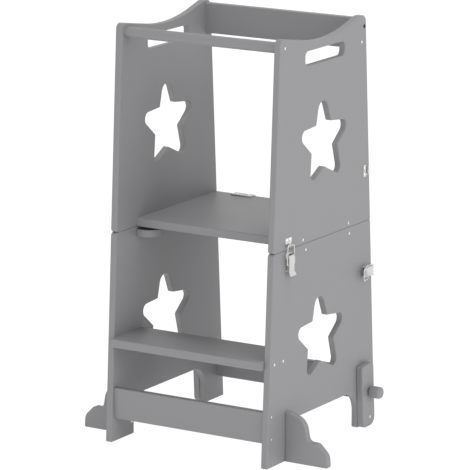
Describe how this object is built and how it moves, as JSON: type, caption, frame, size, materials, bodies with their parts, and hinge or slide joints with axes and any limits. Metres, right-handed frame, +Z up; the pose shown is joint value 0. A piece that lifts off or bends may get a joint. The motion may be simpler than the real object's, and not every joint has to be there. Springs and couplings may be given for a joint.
{
  "type": "toddler kitchen helper stool",
  "caption": "Folding painted wooden toddler tower: platform between side panels with star cut-outs, step, grab rail, side feet, toggle latches, fold hinges.",
  "frame": {"origin": "on the floor, under the middle of the standing tower", "axes": "+Z up, -Y to the front (the side with the step), +X to the right side panel seen from the front"},
  "size_m": [0.6058, 0.4478, 0.8956],
  "materials": {
    "grey_painted_wood": "satin grey paint",
    "bright_steel": "bright nickel-plated steel",
    "insert_steel": "dull zinc-plated steel",
    "plain_beech": "bare wood"
  },
  "bodies": {
    "lower_half": {"lower_side_panel_right": "grey_painted_wood", "lower_side_panel_left": "grey_painted_wood", "platform_frame": "grey_painted_wood", "step_board": "grey_painted_wood", "front_rail": "grey_painted_wood", "rear_rail": "grey_painted_wood", "side_foot_right": "grey_painted_wood", "side_foot_left": "grey_painted_wood", "hinge_lower_leaf_right": "bright_steel", "hinge_lower_leaf_left": "bright_steel", "hinge_pin_right": "bright_steel", "hinge_pin_left": "bright_steel", "front_latch_base_right": "bright_steel", "front_latch_base_left": "bright_steel", "front_latch_pin_right": "bright_steel", "front_latch_pin_left": "bright_steel", "rear_latch_base_right": "bright_steel", "rear_latch_base_left": "bright_steel", "rear_latch_pin_right": "bright_steel", "rear_latch_pin_left": "bright_steel", "lock_bar_bolt_right": "bright_steel", "lock_bar_bolt_left": "bright_steel", "lower_panel_screws": "bright_steel", "side_foot_screws": "bright_steel", "lower_lock_inserts": "insert_steel", "hinge_lower_screws": "bright_steel", "latch_screws": "bright_steel"},
    "upper_half": {"upper_side_panel_right": "grey_painted_wood", "upper_side_panel_left": "grey_painted_wood", "grab_rail": "grey_painted_wood", "back_board": "grey_painted_wood", "standing_platform": "grey_painted_wood", "front_catch_right": "bright_steel", "front_catch_left": "bright_steel", "rear_catch_right": "bright_steel", "rear_catch_left": "bright_steel", "hinge_upper_leaf_right": "bright_steel", "hinge_upper_leaf_left": "bright_steel", "upper_panel_screws": "bright_steel", "back_board_dowels": "plain_beech", "upper_lock_inserts": "insert_steel", "catch_screws": "bright_steel", "hinge_upper_screws": "bright_steel"},
    "front_lever_right": {"front_latch_lever_right": "bright_steel"},
    "front_bail_right": {"front_latch_bail_right": "bright_steel"},
    "rear_lever_right": {"rear_latch_lever_right": "bright_steel"},
    "rear_bail_right": {"rear_latch_bail_right": "bright_steel"},
    "lock_bar_right": {"lock_bar_right": "grey_painted_wood"},
    "lock_knob_right": {"lock_knob_right": "grey_painted_wood"},
    "front_lever_left": {"front_latch_lever_left": "bright_steel"},
    "front_bail_left": {"front_latch_bail_left": "bright_steel"},
    "rear_lever_left": {"rear_latch_lever_left": "bright_steel"},
    "rear_bail_left": {"rear_latch_bail_left": "bright_steel"},
    "lock_bar_left": {"lock_bar_left": "grey_painted_wood"},
    "lock_knob_left": {"lock_knob_left": "grey_painted_wood"}
  },
  "joints": [
    {"name": "upper_fold", "type": "hinge", "parent": "lower_half", "child": "upper_half", "pos_m": [0, 0.20037, 0.45], "axis": [-1, 0, 0], "range_deg": [0, 180]},
    {"name": "front_lever_swing_right", "type": "hinge", "parent": "lower_half", "child": "front_lever_right", "pos_m": [0.2066, -0.14095, 0.438], "axis": [0, -1, 0], "range_deg": [0, 150]},
    {"name": "front_bail_swing_right", "type": "hinge", "parent": "front_lever_right", "child": "front_bail_right", "pos_m": [0.20645, -0.14095, 0.42], "axis": [0, -1, 0], "range_deg": [-150, 0]},
    {"name": "rear_lever_swing_right", "type": "hinge", "parent": "lower_half", "child": "rear_lever_right", "pos_m": [0.2066, 0.19694, 0.34], "axis": [0, 0, 1], "range_deg": [0, 150]},
    {"name": "rear_bail_swing_right", "type": "hinge", "parent": "rear_lever_right", "child": "rear_bail_right", "pos_m": [0.20645, 0.17894, 0.34], "axis": [0, 0, -1], "range_deg": [-162, 0]},
    {"name": "lock_bar_swing_right", "type": "hinge", "parent": "lower_half", "child": "lock_bar_right", "pos_m": [0.2078, 0.17803, 0.0205], "axis": [-1, 0, 0], "range_deg": [0, 84.7]},
    {"name": "lock_knob_press_right", "type": "slide", "parent": "lock_bar_right", "child": "lock_knob_right", "axis": [1, 0, 0], "range_m": [-0.005, 0]},
    {"name": "front_lever_swing_left", "type": "hinge", "parent": "lower_half", "child": "front_lever_left", "pos_m": [-0.2066, -0.14095, 0.438], "axis": [0, 1, 0], "range_deg": [0, 150]},
    {"name": "front_bail_swing_left", "type": "hinge", "parent": "front_lever_left", "child": "front_bail_left", "pos_m": [-0.20645, -0.14095, 0.42], "axis": [0, 1, 0], "range_deg": [-150, 0]},
    {"name": "rear_lever_swing_left", "type": "hinge", "parent": "lower_half", "child": "rear_lever_left", "pos_m": [-0.2066, 0.19694, 0.34], "axis": [0, 0, -1], "range_deg": [0, 150]},
    {"name": "rear_bail_swing_left", "type": "hinge", "parent": "rear_lever_left", "child": "rear_bail_left", "pos_m": [-0.20645, 0.17894, 0.34], "axis": [0, 0, 1], "range_deg": [-162, 0]},
    {"name": "lock_bar_swing_left", "type": "hinge", "parent": "lower_half", "child": "lock_bar_left", "pos_m": [-0.2078, 0.17803, 0.0205], "axis": [-1, 0, 0], "range_deg": [0, 84.7]},
    {"name": "lock_knob_press_left", "type": "slide", "parent": "lock_bar_left", "child": "lock_knob_left", "axis": [-1, 0, 0], "range_m": [-0.005, 0]}
  ],
  "couplings": [
    {"joint": "front_bail_swing_right", "follows": "front_lever_swing_right", "ratio": -1},
    {"joint": "front_bail_swing_left", "follows": "front_lever_swing_left", "ratio": -1}
  ]
}
